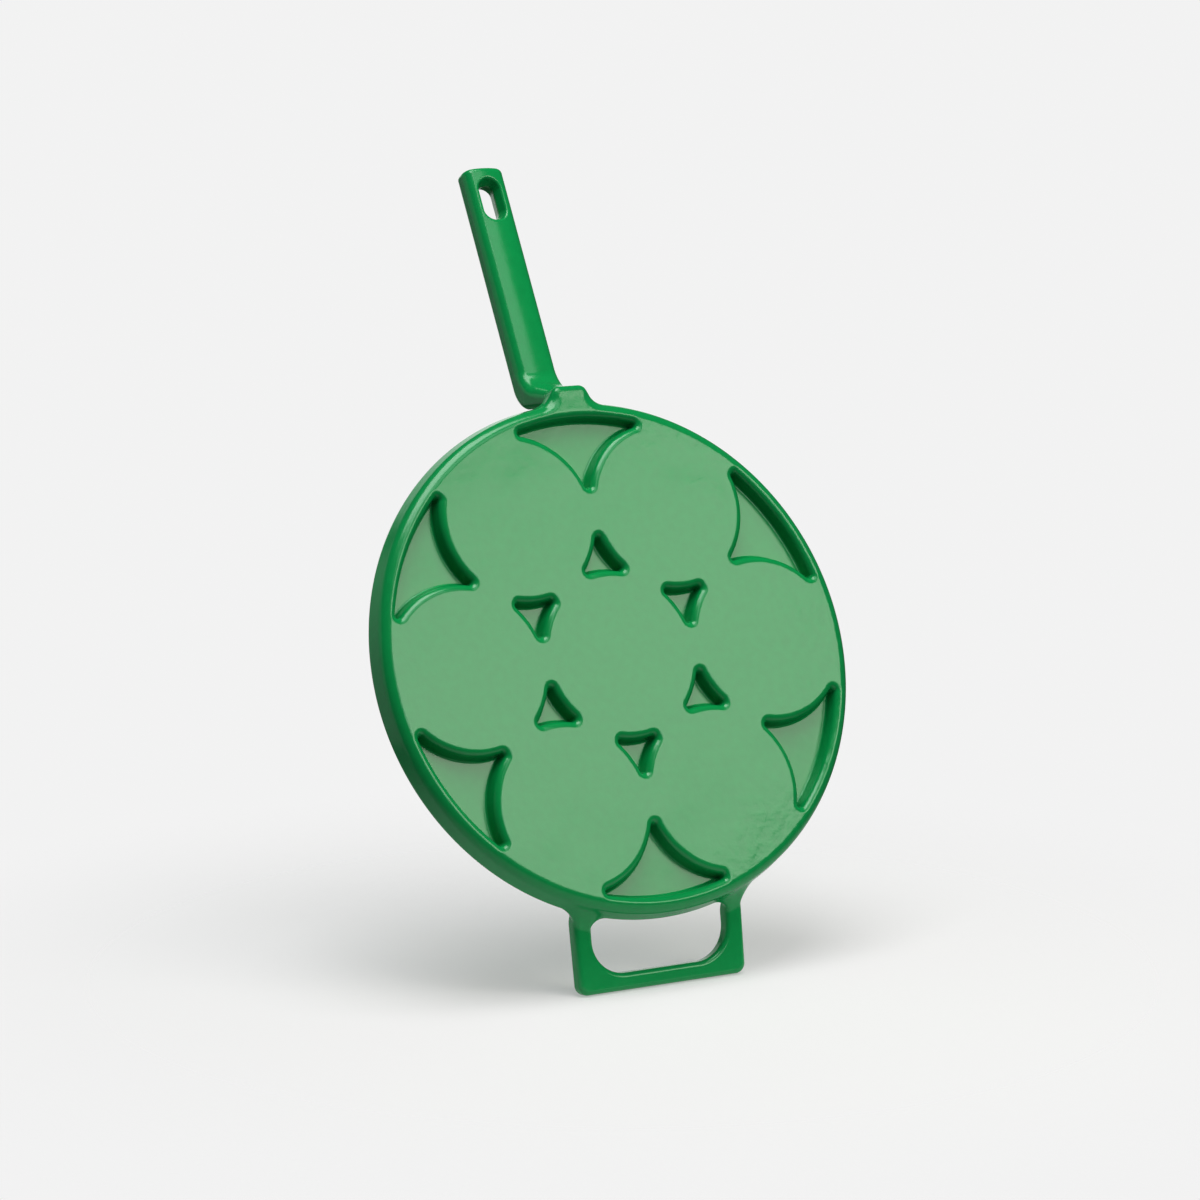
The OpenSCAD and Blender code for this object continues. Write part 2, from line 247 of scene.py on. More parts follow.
# The helper handle, in mm; its reach runs from the pan's radius along its slope
helper = {
    "half": 46.5,
    "flare": 0.5,  # how much wider it is at its root, to each side
    "reach": 31.217,
    "thick": 8.0,
    "slope": math.radians(13.3),
    "height": 18.1,  # of its middle plane at the pan's radius
    "corner": 5.0,
    "round": 2.2,  # upper edges
    "underRound": 2.7,  # lower edges
    "roundBlend": 1.5,  # either side of its middle plane: where one rounding gives way to the other
    "lipBlend": 2.0,  # edge where the lip's cone cuts it off
    "gapHalf": 37.5,
    "bar": 8.6,
    "gapCorner": 17.0,
    "join": 4.5,  # fillet at its root on the upper side
    "underJoin": 8.5,
    "joinSpan": (0.5, 5),  # below its middle plane: where one fillet gives way to the other
}


def helperCasting(p):
    # Pan and helper handle in one: a rounded plate with a finger gap, which slopes up from the lip and is
    # cut off by a cone that falls from the lip's inner edge
    x, y, z = -p[..., 0], p[..., 1], p[..., 2]
    c, s = math.cos(helper["slope"]), math.sin(helper["slope"])
    t = (x - pan["radius"]) * c + (z - helper["height"]) * s
    n = (z - helper["height"]) * c - (x - pan["radius"]) * s
    half = helper["half"] + helper["flare"] * (1 - np.clip(t / helper["reach"], 0, 1))
    plan = roundTongue(t - helper["reach"], y, half, helper["corner"])
    gap = roundTongue(t - helper["reach"] + helper["bar"], y, helper["gapHalf"], helper["gapCorner"])
    blend = softStep(-n, -helper["roundBlend"], helper["roundBlend"])
    edge = between(helper["round"], helper["underRound"], blend)
    plate = roundKeep(np.maximum(plan, -gap), np.abs(n) - helper["thick"] / 2, edge)
    cone = (z - pan["height"] - np.hypot(x, y) + pan["lipInner"]) / math.sqrt(2)
    plate = roundKeep(plate, cone, helper["lipBlend"])
    join = between(helper["join"], helper["underJoin"], softStep(-n, *helper["joinSpan"]))
    return roundJoin(body(p), plate, join)


def slopeOf(f, p, h=0.01):
    # How fast a distance grows along x, y and z: its difference over a short way h to either side
    g = np.empty_like(p)
    for k in range(3):
        d = np.zeros(3)
        d[k] = h
        g[..., k] = (f(p + d) - f(p - d)) / (2 * h)
    return g


def settle(f, p, hold=(), steps=4, flattest=0.05):
    # Moves points to where the distance is zero, by steps of distance over slope. Hold lists directions
    # in which a point may not move; flattest is the least slope squared that a step reckons with
    p = p.copy()
    for _ in range(steps):
        g = slopeOf(f, p)
        for h in hold:
            g = g - (g * h).sum(-1, keepdims=True) * h
        p -= (f(p) / np.maximum((g * g).sum(-1), flattest))[..., None] * g
    return p


def normalsOf(f, p):
    # The distance's slope at each point, brought to length 1
    g = slopeOf(f, p)
    return g / np.linalg.norm(g, axis=-1, keepdims=True)


def gridTris(rows, cols, wrap=False):
    # Two triangles for each cell of a grid of points, with the last column joined to the first if it wraps
    r = np.arange(rows - 1)[:, None]
    c = np.arange(cols if wrap else cols - 1)[None, :]
    d = (c + 1) % cols
    quad = np.stack([r * cols + c, r * cols + d, (r + 1) * cols + d, (r + 1) * cols + c], -1).reshape(-1, 4)
    return np.concatenate([quad[:, [0, 1, 2]], quad[:, [0, 2, 3]]])


def facing(points, normals, tris):
    # Turns each triangle so that it faces the way its corners' normals point
    a, b, c = (points[tris[:, k]] for k in range(3))
    away = (np.cross(b - a, c - a) * normals[tris].sum(1)).sum(-1) < 0
    tris = tris.copy()
    tris[away] = tris[away][:, ::-1]
    return points, normals, tris


def triangulated(points, edges, holes=None):
    # Flat triangulation of what lies inside the edges, without triangles whose middle lies in a hole
    insideOnly, weld = 1, 1e-6
    flat = [Vector(v) for v in points]
    _, _, faces, origin, _, _ = delaunay_2d_cdt(flat, edges.tolist(), [], insideOnly, weld)
    source = np.array([o[0] if o else -1 for o in origin])
    tris = source[np.array([f[:] for f in faces])]
    tris = tris[(tris >= 0).all(1)]
    if holes is not None:
        middle = points[tris].mean(1)
        tris = tris[~holes(middle[:, 0], middle[:, 1])]
    return tris


def filled(rings, loose, holes):
    # Flat triangulation of the space between closed rings, with loose points in it. Gives all the points,
    # the rings' first, and the triangles
    edges, start = [], 0
    for ring in rings:
        i = np.arange(len(ring))
        edges.append(np.stack([start + i, start + (i + 1) % len(ring)], -1))
        start += len(ring)
    points = np.concatenate(rings + [loose])
    return points, triangulated(points, np.concatenate(edges), holes)


def makePiece(name, patches, material, nodes):
    # Joins patches of (points, normals, triangles) into one mesh. Points that agree to a thousandth of a
    # millimetre become one, and a corner keeps its patch's normal
    points = np.concatenate([p for p, _, _ in patches])
    normals = np.concatenate([n for _, n, _ in patches])
    starts = np.cumsum([0] + [len(p) for p, _, _ in patches])
    tris = np.concatenate([t + s for (_, _, t), s in zip(patches, starts)])
    _, first, index = np.unique(np.round(points, 3), axis=0, return_index=True, return_inverse=True)
    joined = index.reshape(-1)[tris]
    whole = (joined[:, 0] != joined[:, 1]) & (joined[:, 1] != joined[:, 2]) & (joined[:, 0] != joined[:, 2])
    joined, corners = joined[whole], normals[tris[whole]].reshape(-1, 3)
    mesh = bpy.data.meshes.new(name)
    mesh.vertices.add(len(first))
    mesh.vertices.foreach_set("co", (points[first] * 0.001).astype(np.float32).ravel())
    mesh.loops.add(joined.size)
    mesh.loops.foreach_set("vertex_index", joined.astype(np.int32).ravel())
    mesh.polygons.add(len(joined))
    mesh.polygons.foreach_set("loop_start", np.arange(0, joined.size, 3, dtype=np.int32))
    mesh.update(calc_edges=True)
    mesh.validate()
    mesh.normals_split_custom_set(corners.astype(np.float32))
    mesh.materials.append(material)
    piece = bpy.data.objects.new(name, mesh)
    bpy.context.scene.collection.objects.link(piece)
    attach(piece, "root")
    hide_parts(*nodes)
    pairs = np.sort(np.concatenate([joined[:, [0, 1]], joined[:, [1, 2]], joined[:, [2, 0]]]), axis=1)
    uses = np.unique(pairs, axis=0, return_counts=True)[1]
    print(f"{name}: {len(joined)} triangles, {(uses != 2).sum()} open edges")
    return piece


def coordsOf(mesh):
    # A mesh's points as an array
    co = np.empty(len(mesh.vertices) * 3)
    mesh.vertices.foreach_get("co", co)
    return co.reshape(-1, 3)


def lattice(f, box, step, place):
    # Skin of a distance on a lattice: one point in each cell that the skin crosses, at the middle of
    # the places where it crosses the cell's edges, and one quad round each lattice edge that it crosses
    low, high = box
    count = np.ceil((np.array(high) - low) / step).astype(int)
    axes = [low[k] + step * np.arange(count[k] + 1) for k in range(3)]
    grid = np.stack(np.meshgrid(*axes, indexing="ij"), -1)
    value = f(place(grid))
    inside = value < 0
    corner = {(i, j, k): (slice(i, i + count[0]), slice(j, j + count[1]), slice(k, k + count[2]))
              for i in (0, 1) for j in (0, 1) for k in (0, 1)}
    total = sum(inside[s].astype(np.int8) for s in corner.values())
    live = (total > 0) & (total < 8)
    index = np.full(live.shape, -1)
    index[live] = np.arange(live.sum())
    where, hits = np.zeros((live.sum(), 3)), np.zeros(live.sum())
    for start, here in corner.items():
        for k in range(3):
            if start[k] == 0:
                there = corner[tuple(1 if m == k else start[m] for m in range(3))]
                va, vb = value[here][live], value[there][live]
                crossed = (va < 0) != (vb < 0)
                t = np.where(crossed, va / np.where(crossed, va - vb, 1), 0)[:, None]
                where += np.where(crossed[:, None], grid[here][live] * (1 - t) + grid[there][live] * t, 0)
                hits += crossed
    quads = []
    for order in ((0, 1, 2), (1, 2, 0), (2, 0, 1)):
        side, cell = inside.transpose(order), index.transpose(order)
        first, last = side[:-1, 1:-1, 1:-1], side[1:, 1:-1, 1:-1]
        ring = np.stack([cell[:, :-1, :-1], cell[:, 1:, :-1], cell[:, 1:, 1:], cell[:, :-1, 1:]], -1)
        quads += [ring[first & ~last], ring[~first & last][:, ::-1]]
    return where / hits[:, None], np.concatenate(quads)


def cutBy(points, faces, planes):
    # Cuts a mesh along planes given as (place, direction), and drops what lies past them
    mesh = bpy.data.meshes.new("cut")
    mesh.from_pydata(points.tolist(), [], faces.tolist())
    bm = bmesh.new()
    bm.from_mesh(mesh)
    for place, direction in planes:
        bmesh.ops.bisect_plane(bm, geom=bm.verts[:] + bm.edges[:] + bm.faces[:], dist=1e-4,
                               plane_co=place, plane_no=direction, clear_outer=True)
    bmesh.ops.triangulate(bm, faces=bm.faces[:])
    bm.to_mesh(mesh)
    bm.free()
    co = coordsOf(mesh)
    tris = np.empty(len(mesh.polygons) * 3, np.int32)
    mesh.polygons.foreach_get("vertices", tris)
    bpy.data.meshes.remove(mesh)
    return co, tris.reshape(-1, 3)


def lidOf(points, tris, onCut, flatten, normals):
    # Closes a cut: the skin's open edges on it bound a face, filled in the cut's own two coordinates.
    # Where that bound stops at the next cut, its ends are joined in pairs
    pairs = np.concatenate([tris[:, [0, 1]], tris[:, [1, 2]], tris[:, [2, 0]]])
    key, uses = np.unique(np.sort(pairs, axis=1), axis=0, return_counts=True)
    bound = key[(uses == 1) & onCut[key].all(1)]
    used, edges = np.unique(bound, return_inverse=True)
    place, edges = points[used], edges.reshape(-1, 2)
    flat = flatten(place)
    ends = np.nonzero(np.bincount(edges.ravel(), minlength=len(used)) == 1)[0]
    ends = ends[np.lexsort((flat[ends, 1], np.round(flat[ends, 0])))].reshape(-1, 2)
    inner = triangulated(flat, np.concatenate([edges, ends]))
    return facing(place, normals[used], inner)


def castSkin(name, f, box, step, place, cuts, nodes, material):
    # A part of the casting whose roots blend in every direction: the skin of its distance on a lattice,
    # cut square where the next part goes on; a cut is (axis, value, side, direction, flatten)
    points, quads = lattice(f, box, step, place)
    planes = []
    for axis, value, side, _, _ in cuts:
        normal = np.zeros(3)
        normal[axis] = side
        planes.append((normal * value * side, normal))
    points, tris = cutBy(points, quads, planes)
    placed = place(points)
    marks = [np.abs(points[:, axis] - value) < 1e-3 for axis, value, _, _, _ in cuts]
    holds = [direction(placed) * mark[:, None] for mark, (_, _, _, direction, _) in zip(marks, cuts)]
    placed = settle(f, placed, holds)
    patches = [facing(placed, normalsOf(f, placed), tris)]
    for mark, (_, _, side, direction, flatten) in zip(marks, cuts):
        patches.append(lidOf(placed, tris, mark, flatten, direction(placed) * side))
    return makePiece(name, patches, material, nodes)


def outward(p):
    # Direction away from the pan's axis
    r = np.hypot(p[..., 0], p[..., 1])[..., None]
    return np.concatenate([p[..., :2] / r, np.zeros_like(r)], -1)


def around(p):
    # Direction round the pan's axis, anticlockwise from above
    o = outward(p)
    return np.stack([-o[..., 1], o[..., 0], o[..., 2]], -1)


def upward(p):
    # Direction up the pan's axis
    return np.broadcast_to(np.array([0.0, 0, 1]), p.shape)


def asPlaced(p):
    # Lattice that already is in the pan's frame
    return p


def polar(p):
    # Lattice of radius, arc length at the rim and height, turned into places in the pan's frame
    turn = p[..., 1] / pan["radius"]
    return np.stack([p[..., 0] * np.cos(turn), p[..., 0] * np.sin(turn), p[..., 2]], -1)


def polarBehind(p):
    # The same, turned half way round to the helper handle
    return polar(p) * np.array([-1, -1, 1])


# The enamel; lengths in metres, and a size is a noise's scale
enamel = {
    "green": (0.003, 0.285, 0.080),
    "tint": (0.84, 1.12),  # how dark and how light the green gets
    "tintSpan": (0.2, 0.8),  # measures of hollows at which it does
    "roughness": 0.20,
    "grain": 0.035,  # how far the roughness wanders
    "shine": 0.47,
    "rippleSize": 210.0,
    "ripple": 0.00006,
    "rippleTint": (0.44, 0.56),
    "swellSize": 30.0,
    "swell": 0.0005,
    "pitSize": 190.0,
    "pits": 0.00024,
    # painted shade on the pits: how far it moves the hollows measure, down in the pits' hollows and up on
    # their raised parts
    "pitShade": (-0.08, 0.08),
    "pitStart": 0.084,  # radii at which pits begin and are at full strength
    "pitEnd": 0.108,
    "pitFade": (0.125, 0.131),  # radii over which they end
    "pitRise": (0.001, 0.003),  # heights over which they end
    "pitSmooth": (-0.12, -0.993, 0),  # direction of the side without pits
    "pitSide": (-0.07, 0.045),  # places along it over which they end
    "pitPatch": (0.30, 0.52),  # part of a swell from which they begin
    "noiseSpan": (0.3, 0.7),  # where nearly all of a noise's values lie
}
# Inputs of the relief group and the values that they take from the enamel
reliefInputs = {
    "Ripple Size": "rippleSize",
    "Ripple Height": "ripple",
    "Swell Size": "swellSize",
    "Swell Height": "swell",
    "Pit Size": "pitSize",
    "Pit Height": "pits",
    "Pit Start": "pitStart",
    "Pit End": "pitEnd",
}


def give(tree, socket, value):
    # Sets an input to a value, or links it to the output that feeds it
    if isinstance(value, bpy.types.NodeSocket):
        tree.links.new(value, socket)
    else:
        socket.default_value = value


def nodeOf(tree, kind, place, **inputs):
    # A shader node with its inputs given; _ in an input's name stands for a space
    node = tree.nodes.new(kind)
    node.location = place
    for name, value in inputs.items():
        give(tree, node.inputs[name.replace("_", " ")], value)
    return node


def mathOf(tree, operation, place, *operands, kind="ShaderNodeMath", result="Value"):
    # What a maths node makes of numbers or other nodes' outputs
    node = nodeOf(tree, kind, place)
    node.operation = operation
    for socket, value in zip(node.inputs, operands):
        give(tree, socket, value)
    return node.outputs[result]


def vectorOf(tree, operation, place, *operands, result="Value"):
    # What a vector maths node makes, as a number or a vector
    return mathOf(tree, operation, place, *operands, kind="ShaderNodeVectorMath", result=result)


def rangeOf(tree, place, value, span, result=(0.0, 1.0), soft=False):
    # Carries a value from one span to another, evenly or in a soft step
    node = nodeOf(tree, "ShaderNodeMapRange", place, Value=value, From_Min=span[0], From_Max=span[1],
                  To_Min=result[0], To_Max=result[1])
    node.interpolation_type = "SMOOTHSTEP" if soft else "LINEAR"
    return node.outputs["Result"]


def grey(level):
    # A colour of even red, green and blue
    return (level, level, level, 1)


def castRelief():
    # Group: height in metres of fine orange peel over slow cast swells, with pits near the edge of the base
    # on one side, and a measure of its hollows that sets the green's tint: a tone that follows the orange
    # peel, darker where it sinks, plus painted shade on the pits
    group = bpy.data.node_groups.new("castRelief", "ShaderNodeTree")
    for name in reliefInputs:
        group.interface.new_socket(name, in_out="INPUT", socket_type="NodeSocketFloat")
    for name in ("Height", "Hollows"):
        group.interface.new_socket(name, in_out="OUTPUT", socket_type="NodeSocketFloat")
    given = nodeOf(group, "NodeGroupInput", (-1100, 0)).outputs
    place = nodeOf(group, "ShaderNodeTexCoord", (-1100, 300)).outputs["Object"]

    def noise(size, row, **settings):
        spot = (-800, 300 - 300 * row)
        texture = nodeOf(group, "ShaderNodeTexNoise", spot, Vector=place, Scale=given[size], **settings)
        return texture.outputs["Fac"]

    ripple = noise("Ripple Size", 0, Detail=2.0, Roughness=0.45)
    swell = noise("Swell Size", 1, Detail=1.0, Roughness=0.45)
    pits = noise("Pit Size", 2, Detail=2.0, Roughness=0.5, Distortion=0.2)
    flat = vectorOf(group, "MULTIPLY", (-800, -700), place, (1, 1, 0), result="Vector")
    away = vectorOf(group, "LENGTH", (-600, -700), flat)
    height = nodeOf(group, "ShaderNodeSeparateXYZ", (-600, -1100), Vector=place).outputs["Z"]
    aside = vectorOf(group, "DOT_PRODUCT", (-600, -1300), place, enamel["pitSmooth"])
    falling = (1.0, 0.0)
    limits = [rangeOf(group, (-400, -900), away, enamel["pitFade"], falling),
              rangeOf(group, (-400, -300), swell, enamel["pitPatch"]),
              rangeOf(group, (-400, -1100), height, enamel["pitRise"], falling),
              rangeOf(group, (-400, -1300), aside, enamel["pitSide"], falling)]
    mask = rangeOf(group, (-400, -600), away, (given["Pit Start"], given["Pit End"]), soft=True)
    for row, limit in enumerate(limits):
        mask = mathOf(group, "MULTIPLY", (-200, -600 - 200 * row), mask, limit)
    rippled = mathOf(group, "MULTIPLY", (-200, 200), ripple, given["Ripple Height"])
    swollen = mathOf(group, "MULTIPLY", (-200, 0), swell, given["Swell Height"])
    pitted = mathOf(group, "MULTIPLY", (-200, -200), pits, given["Pit Height"])
    pitted = mathOf(group, "MULTIPLY", (0, -200), pitted, mask)
    total = mathOf(group, "ADD", (0, 0), rippled, swollen)
    total = mathOf(group, "ADD", (200, 0), total, pitted)
    # Painted shade: inside the pits' mask, the pits' hollows are darkened and their raised parts lightened
    paintedPitShade = rangeOf(group, (0, -1000), pits, enamel["noiseSpan"], enamel["pitShade"])
    paintedPitShade = mathOf(group, "MULTIPLY", (200, -400), paintedPitShade, mask)
    quiet = rangeOf(group, (200, -700), ripple, enamel["noiseSpan"], enamel["rippleTint"])
    hollows = mathOf(group, "ADD", (300, -200), quiet, paintedPitShade)
    nodeOf(group, "NodeGroupOutput", (500, 0), Height=total, Hollows=hollows)
    return group


def enamelMaterial(relief):
    # Vitreous green over cast iron: a glossy glass with a faint orange peel, and painted shade on the pits
    # near the base's edge
    material = bpy.data.materials.new("greenEnamel")
    material.use_nodes = True
    tree = material.node_tree
    shader = tree.nodes["Principled BSDF"]
    shader.inputs["Specular IOR Level"].default_value = enamel["shine"]
    group = nodeOf(tree, "ShaderNodeGroup", (-700, -200))
    group.node_tree = relief
    for name, key in reliefInputs.items():
        group.inputs[name].default_value = enamel[key]
    hollows = group.outputs["Hollows"]
    bump = nodeOf(tree, "ShaderNodeBump", (-300, -300), Strength=1.0, Distance=1.0,
                  Height=group.outputs["Height"])
    # The green darkens and lightens with the hollows measure, which holds the orange peel's tone and the
    # painted shade on the pits
    tint = nodeOf(tree, "ShaderNodeValToRGB", (-450, 200), Fac=hollows)
    for stop, position, share in zip(tint.color_ramp.elements, enamel["tintSpan"], enamel["tint"]):
        stop.position = position
        stop.color = tuple(share * c for c in enamel["green"]) + (1.0,)
    rough = (enamel["roughness"] - enamel["grain"], enamel["roughness"] + enamel["grain"])
    give(tree, shader.inputs["Normal"], bump.outputs["Normal"])
    give(tree, shader.inputs["Base Color"], tint.outputs["Color"])
    give(tree, shader.inputs["Roughness"], rangeOf(tree, (-450, 0), hollows, (0.0, 1.0), rough))
    return material


enamelled = enamelMaterial(castRelief())
print("enamel made")

# Wells of the cooking side, six round a middle one, in mm
wells = {
    "count": 6,
    "pitch": 83.3,
    "radius": 38.0,
    "floor": 4.5,  # height of a well's floor over the underside
    "start": -0.6,  # inset of the wall's first row
    "draft": math.radians(22),
    "edgeRound": 1.5,
    "floorRound": 2.5,
    "footRadius": 39.9,  # of the round foot that the recesses leave below a well
    "columns": 200,
    "floorRows": 12,
    "landRings": (122.9, 123.4, 123.9, 124.2),  # radii of loose points where the land meets the lip
}
# Recesses between the wells' feet on the underside, six large and six small, in mm
recess = {
    "depth": 8.0,
    "outer": 123.06,
    "tip": 4.0,
    "tipSteps": 14,
    "start": -1.25,
    "draft": math.radians(12),
    "edgeRound": 4.0,
    "floorRound": 1.2,
    "largeTips": ((112, 31), (84, 0), (112, -31)),  # points near the tips of the recess on +X
    "largeColumns": (64, 46, 46),
    "largeMiddle": (108, 0),
    "smallTips": ((41, -12), (64, 0), (41, 12)),
    "smallColumns": (20, 20, 20),
    "floorRows": 7,
    "groundRings": (122.6, 123.1, 123.6, 124.1),  # radii of loose points where the base begins to lift
    "groundMargin": 0.5,
    "liftBand": 2.5,  # width inside the plate's edge over which the base may lift
}


def wallProfile(shape, depth):
    # A hollow's wall in section: rounded edge, straight draft, rounded foot. Gives how far it has come
    # in, how deep it is and the direction that it runs in, as (in, deep, along, down) for each row
    edgeRows, footRows = 9, 8
    draft, edgeRound, floorRound = shape["draft"], shape["edgeRound"], shape["floorRound"]
    turn = math.pi / 2 - draft
    top = np.linspace(0, turn, edgeRows)
    foot = np.linspace(turn, 0, footRows)
    topIn, topDeep = shape["start"] + edgeRound * np.sin(top), edgeRound * (1 - np.cos(top))
    straight = depth - topDeep[-1] - floorRound * (1 - math.cos(turn))
    footIn = topIn[-1] + straight * math.tan(draft) + floorRound * (math.sin(turn) - np.sin(foot))
    footDeep = depth - floorRound * (1 - np.cos(foot))
    angle = np.concatenate([top, foot])
    return np.stack([np.concatenate([topIn, footIn]), np.concatenate([topDeep, footDeep]),
                     np.cos(angle), np.sin(angle)], -1)


def arcPoints(centre, radius, a, b, count):
    # Points and outward directions of an arc from angle a towards angle b, without its last point
    t = a + (b - a) * np.arange(count) / count
    d = np.stack([np.cos(t), np.sin(t)], -1)
    return np.array(centre) + radius * d, d


def angleTo(a, b):
    # Angle of the line from a to b
    return math.atan2(b[1] - a[1], b[0] - a[0])


def angleNear(a, b):
    # Angle b brought within half a turn of a
    return a + (b - a + math.pi) % (2 * math.pi) - math.pi


def crossing(c1, r1, c2, r2, mark):
    # Where two circles cross, at the place nearer to the mark
    c1, c2 = np.array(c1), np.array(c2)
    d = c2 - c1
    gap = np.linalg.norm(d)
    along = (gap**2 + r1**2 - r2**2) / (2 * gap)
    rise = math.sqrt(max(r1**2 - along**2, 0))
    foot, across = c1 + d / gap * along, np.array([-d[1], d[0]]) / gap
    both = foot + rise * across, foot - rise * across
    return min(both, key=lambda p: np.hypot(*(p - mark)))


def recessRing(circles, inset, marks, counts):
    # Closed outline of a recess, drawn in by inset: each circle (centre, radius, sign) gives a side,
    # which grows (sign 1) or shrinks (sign -1) with the inset, and neighbouring sides meet in a tip arc
    # about a fixed centre, or in a corner once the inset is past the tip's own radius
    tip, past = recess["tip"], max(inset, recess["tip"])
    following = circles[1:] + circles[:1]
    tips = [crossing(c, r + s * past, d, q + w * past, mark)
            for (c, r, s), (d, q, w), mark in zip(circles, following, marks)]
    points, into = [], []
    for k, ((centre, radius, sign), (nextCentre, _, nextSign)) in enumerate(zip(circles, following)):
        before, after = tips[k - 1], tips[k]
        a = angleTo(centre, before)
        b = angleNear(a, angleTo(centre, after))
        p, d = arcPoints(centre, radius + sign * inset, a, b, counts[k])
        points.append(p)
        into.append(d * sign)
        a = angleTo(after, centre) if sign > 0 else angleTo(centre, after)
        b = angleNear(a, angleTo(after, nextCentre) if nextSign > 0 else angleTo(nextCentre, after))
        p, d = arcPoints(after, max(tip - inset, 0), a, b, recess["tipSteps"])
        points.append(p)
        into.append(-d)
    return np.concatenate(points), np.concatenate(into)


def baseRise(x, y):
    # Height of the underside's flat where the base's rounded edge begins to lift it, found from just
    # above the flat by moving up or down alone
    p = np.stack([x, y, np.full_like(x, 0.02)], -1)
    return settle(body, p, [outward(p), around(p)], 6)[..., 2]


def withRise(points, normals):
    # Adds the base's rise to points of the underside, and tilts their normals to suit
    r = np.hypot(points[:, 0], points[:, 1])
    edge = r > pan["plateRadius"] - recess["liftBand"]
    if edge.any():
        x, y = points[edge, 0], points[edge, 1]
        h = 0.02
        points[edge, 2] += baseRise(x, y)
        alongX = baseRise(x + h, y) - baseRise(x - h, y)
        alongY = baseRise(x, y + h) - baseRise(x, y - h)
        normals[edge, :2] += np.stack([alongX, alongY], -1) / (2 * h) * np.maximum(-normals[edge, 2:], 0)
    return points, normals / np.linalg.norm(normals, axis=-1, keepdims=True)


def spun(p, turn):
    # Points in plan turned about the pan's axis
    c, s = math.cos(turn), math.sin(turn)
    return p @ np.array([[c, s], [-s, c]])


def hollowPatch(ringAt, profile, middle, floorRows, level, rise):
    # A hollow as one grid: the rows follow its wall profile inwards, then close in on its middle
    rows = [ringAt(inset) for inset in profile[:, 0]]
    plan = np.stack([r for r, _ in rows])
    into = np.stack([d for _, d in rows])
    z = np.broadcast_to(level + rise * profile[:, 1, None], plan.shape[:2])
    normal = np.concatenate([into * profile[:, 3, None, None],
                             np.broadcast_to(-rise * profile[:, 2, None, None], plan.shape[:2] + (1,))], -1)
    points = np.concatenate([plan, z[..., None]], -1)
    share = np.linspace(0, 1, floorRows + 1)[1:, None, None]
    floor = points[-1] * (1 - share) + np.append(middle, z[-1, 0]) * share
    flat = np.broadcast_to(np.array([0, 0, -rise]), floor.shape)
    points, normal = np.concatenate([points, floor]), np.concatenate([normal, flat])
    return points.reshape(-1, 3), normal.reshape(-1, 3), gridTris(len(points), plan.shape[1], wrap=True)


def recessShapes():
    # The outline's circles, a point near each tip, columns for each side and the middle of the floor,
    # for one large recess and one small one, both on the +X side
    pitch, foot = wells["pitch"], wells["footRadius"]
    c, s = pitch * math.cos(math.pi / 6), pitch / 2
    left, right = ((c, s), foot, 1), ((c, -s), foot, 1)
    rimCircle, hub = ((0, 0), recess["outer"], -1), ((0, 0), foot, 1)
    large = ([rimCircle, left, right], recess["largeTips"], recess["largeColumns"], recess["largeMiddle"])
    small = ([hub, right, left], recess["smallTips"], recess["smallColumns"], (pitch / math.sqrt(3), 0))
    return large, small


def ringTest(rings):
    # Tells whether points lie inside any of the rings, or within a margin of one. A point is inside where
    # a level line from it crosses the ring an odd number of times
    def test(x, y, margin=0.0):
        found = np.zeros(len(x), bool)
        for ring in rings:
            low, high = ring.min(0) - margin, ring.max(0) + margin
            close = np.nonzero((x > low[0]) & (x < high[0]) & (y > low[1]) & (y < high[1]))[0]
            if not len(close):
                continue
            px, py = x[close][:, None], y[close][:, None]
            ax, ay = ring.T
            bx, by = np.roll(ring, -1, 0).T
            spans = (ay > py) != (by > py)
            across = ax + (py - ay) * (bx - ax) / np.where(spans, by - ay, 1)
            inside = (spans & (px < across)).sum(1) % 2 == 1
            if margin:
                inside |= np.hypot(px - ax, py - ay).min(1) < margin
            found[close] |= inside
        return found

    return test


def underside(edgeRing):
    # Flat ground inside the plate's edge, with its recesses. Gives the patches and the edge's points
    patches, rings = [], []
    profile = wallProfile(recess, recess["depth"])
    for circles, marks, counts, middle in recessShapes():
        for k in range(wells["count"]):
            turn = 2 * math.pi * k / wells["count"]

            def ringAt(inset):
                ring, into = recessRing(circles, inset, marks, counts)
                return spun(ring, turn), spun(into, turn)

            points, normals, tris = hollowPatch(ringAt, profile, spun(np.array(middle, float), turn),
                                                recess["floorRows"], 0.0, 1.0)
            patches.append(facing(*withRise(points.copy(), normals.copy()), tris))
            rings.append(ringAt(profile[0, 0])[0])
    inRecess = ringTest(rings)
    loose = np.concatenate([edgeRing * (r / pan["plateRadius"]) for r in recess["groundRings"]])
    loose = loose[~inRecess(loose[:, 0], loose[:, 1], recess["groundMargin"])]
    flat, tris = filled(rings + [edgeRing], loose, inRecess)
    points = np.concatenate([flat, np.zeros((len(flat), 1))], -1)
    points, normals = withRise(points, np.tile([0.0, 0, -1], (len(points), 1)))
    patches.append(facing(points, normals, tris))
    before = sum(len(ring) for ring in rings)
    return patches, points[before:before + len(edgeRing)]


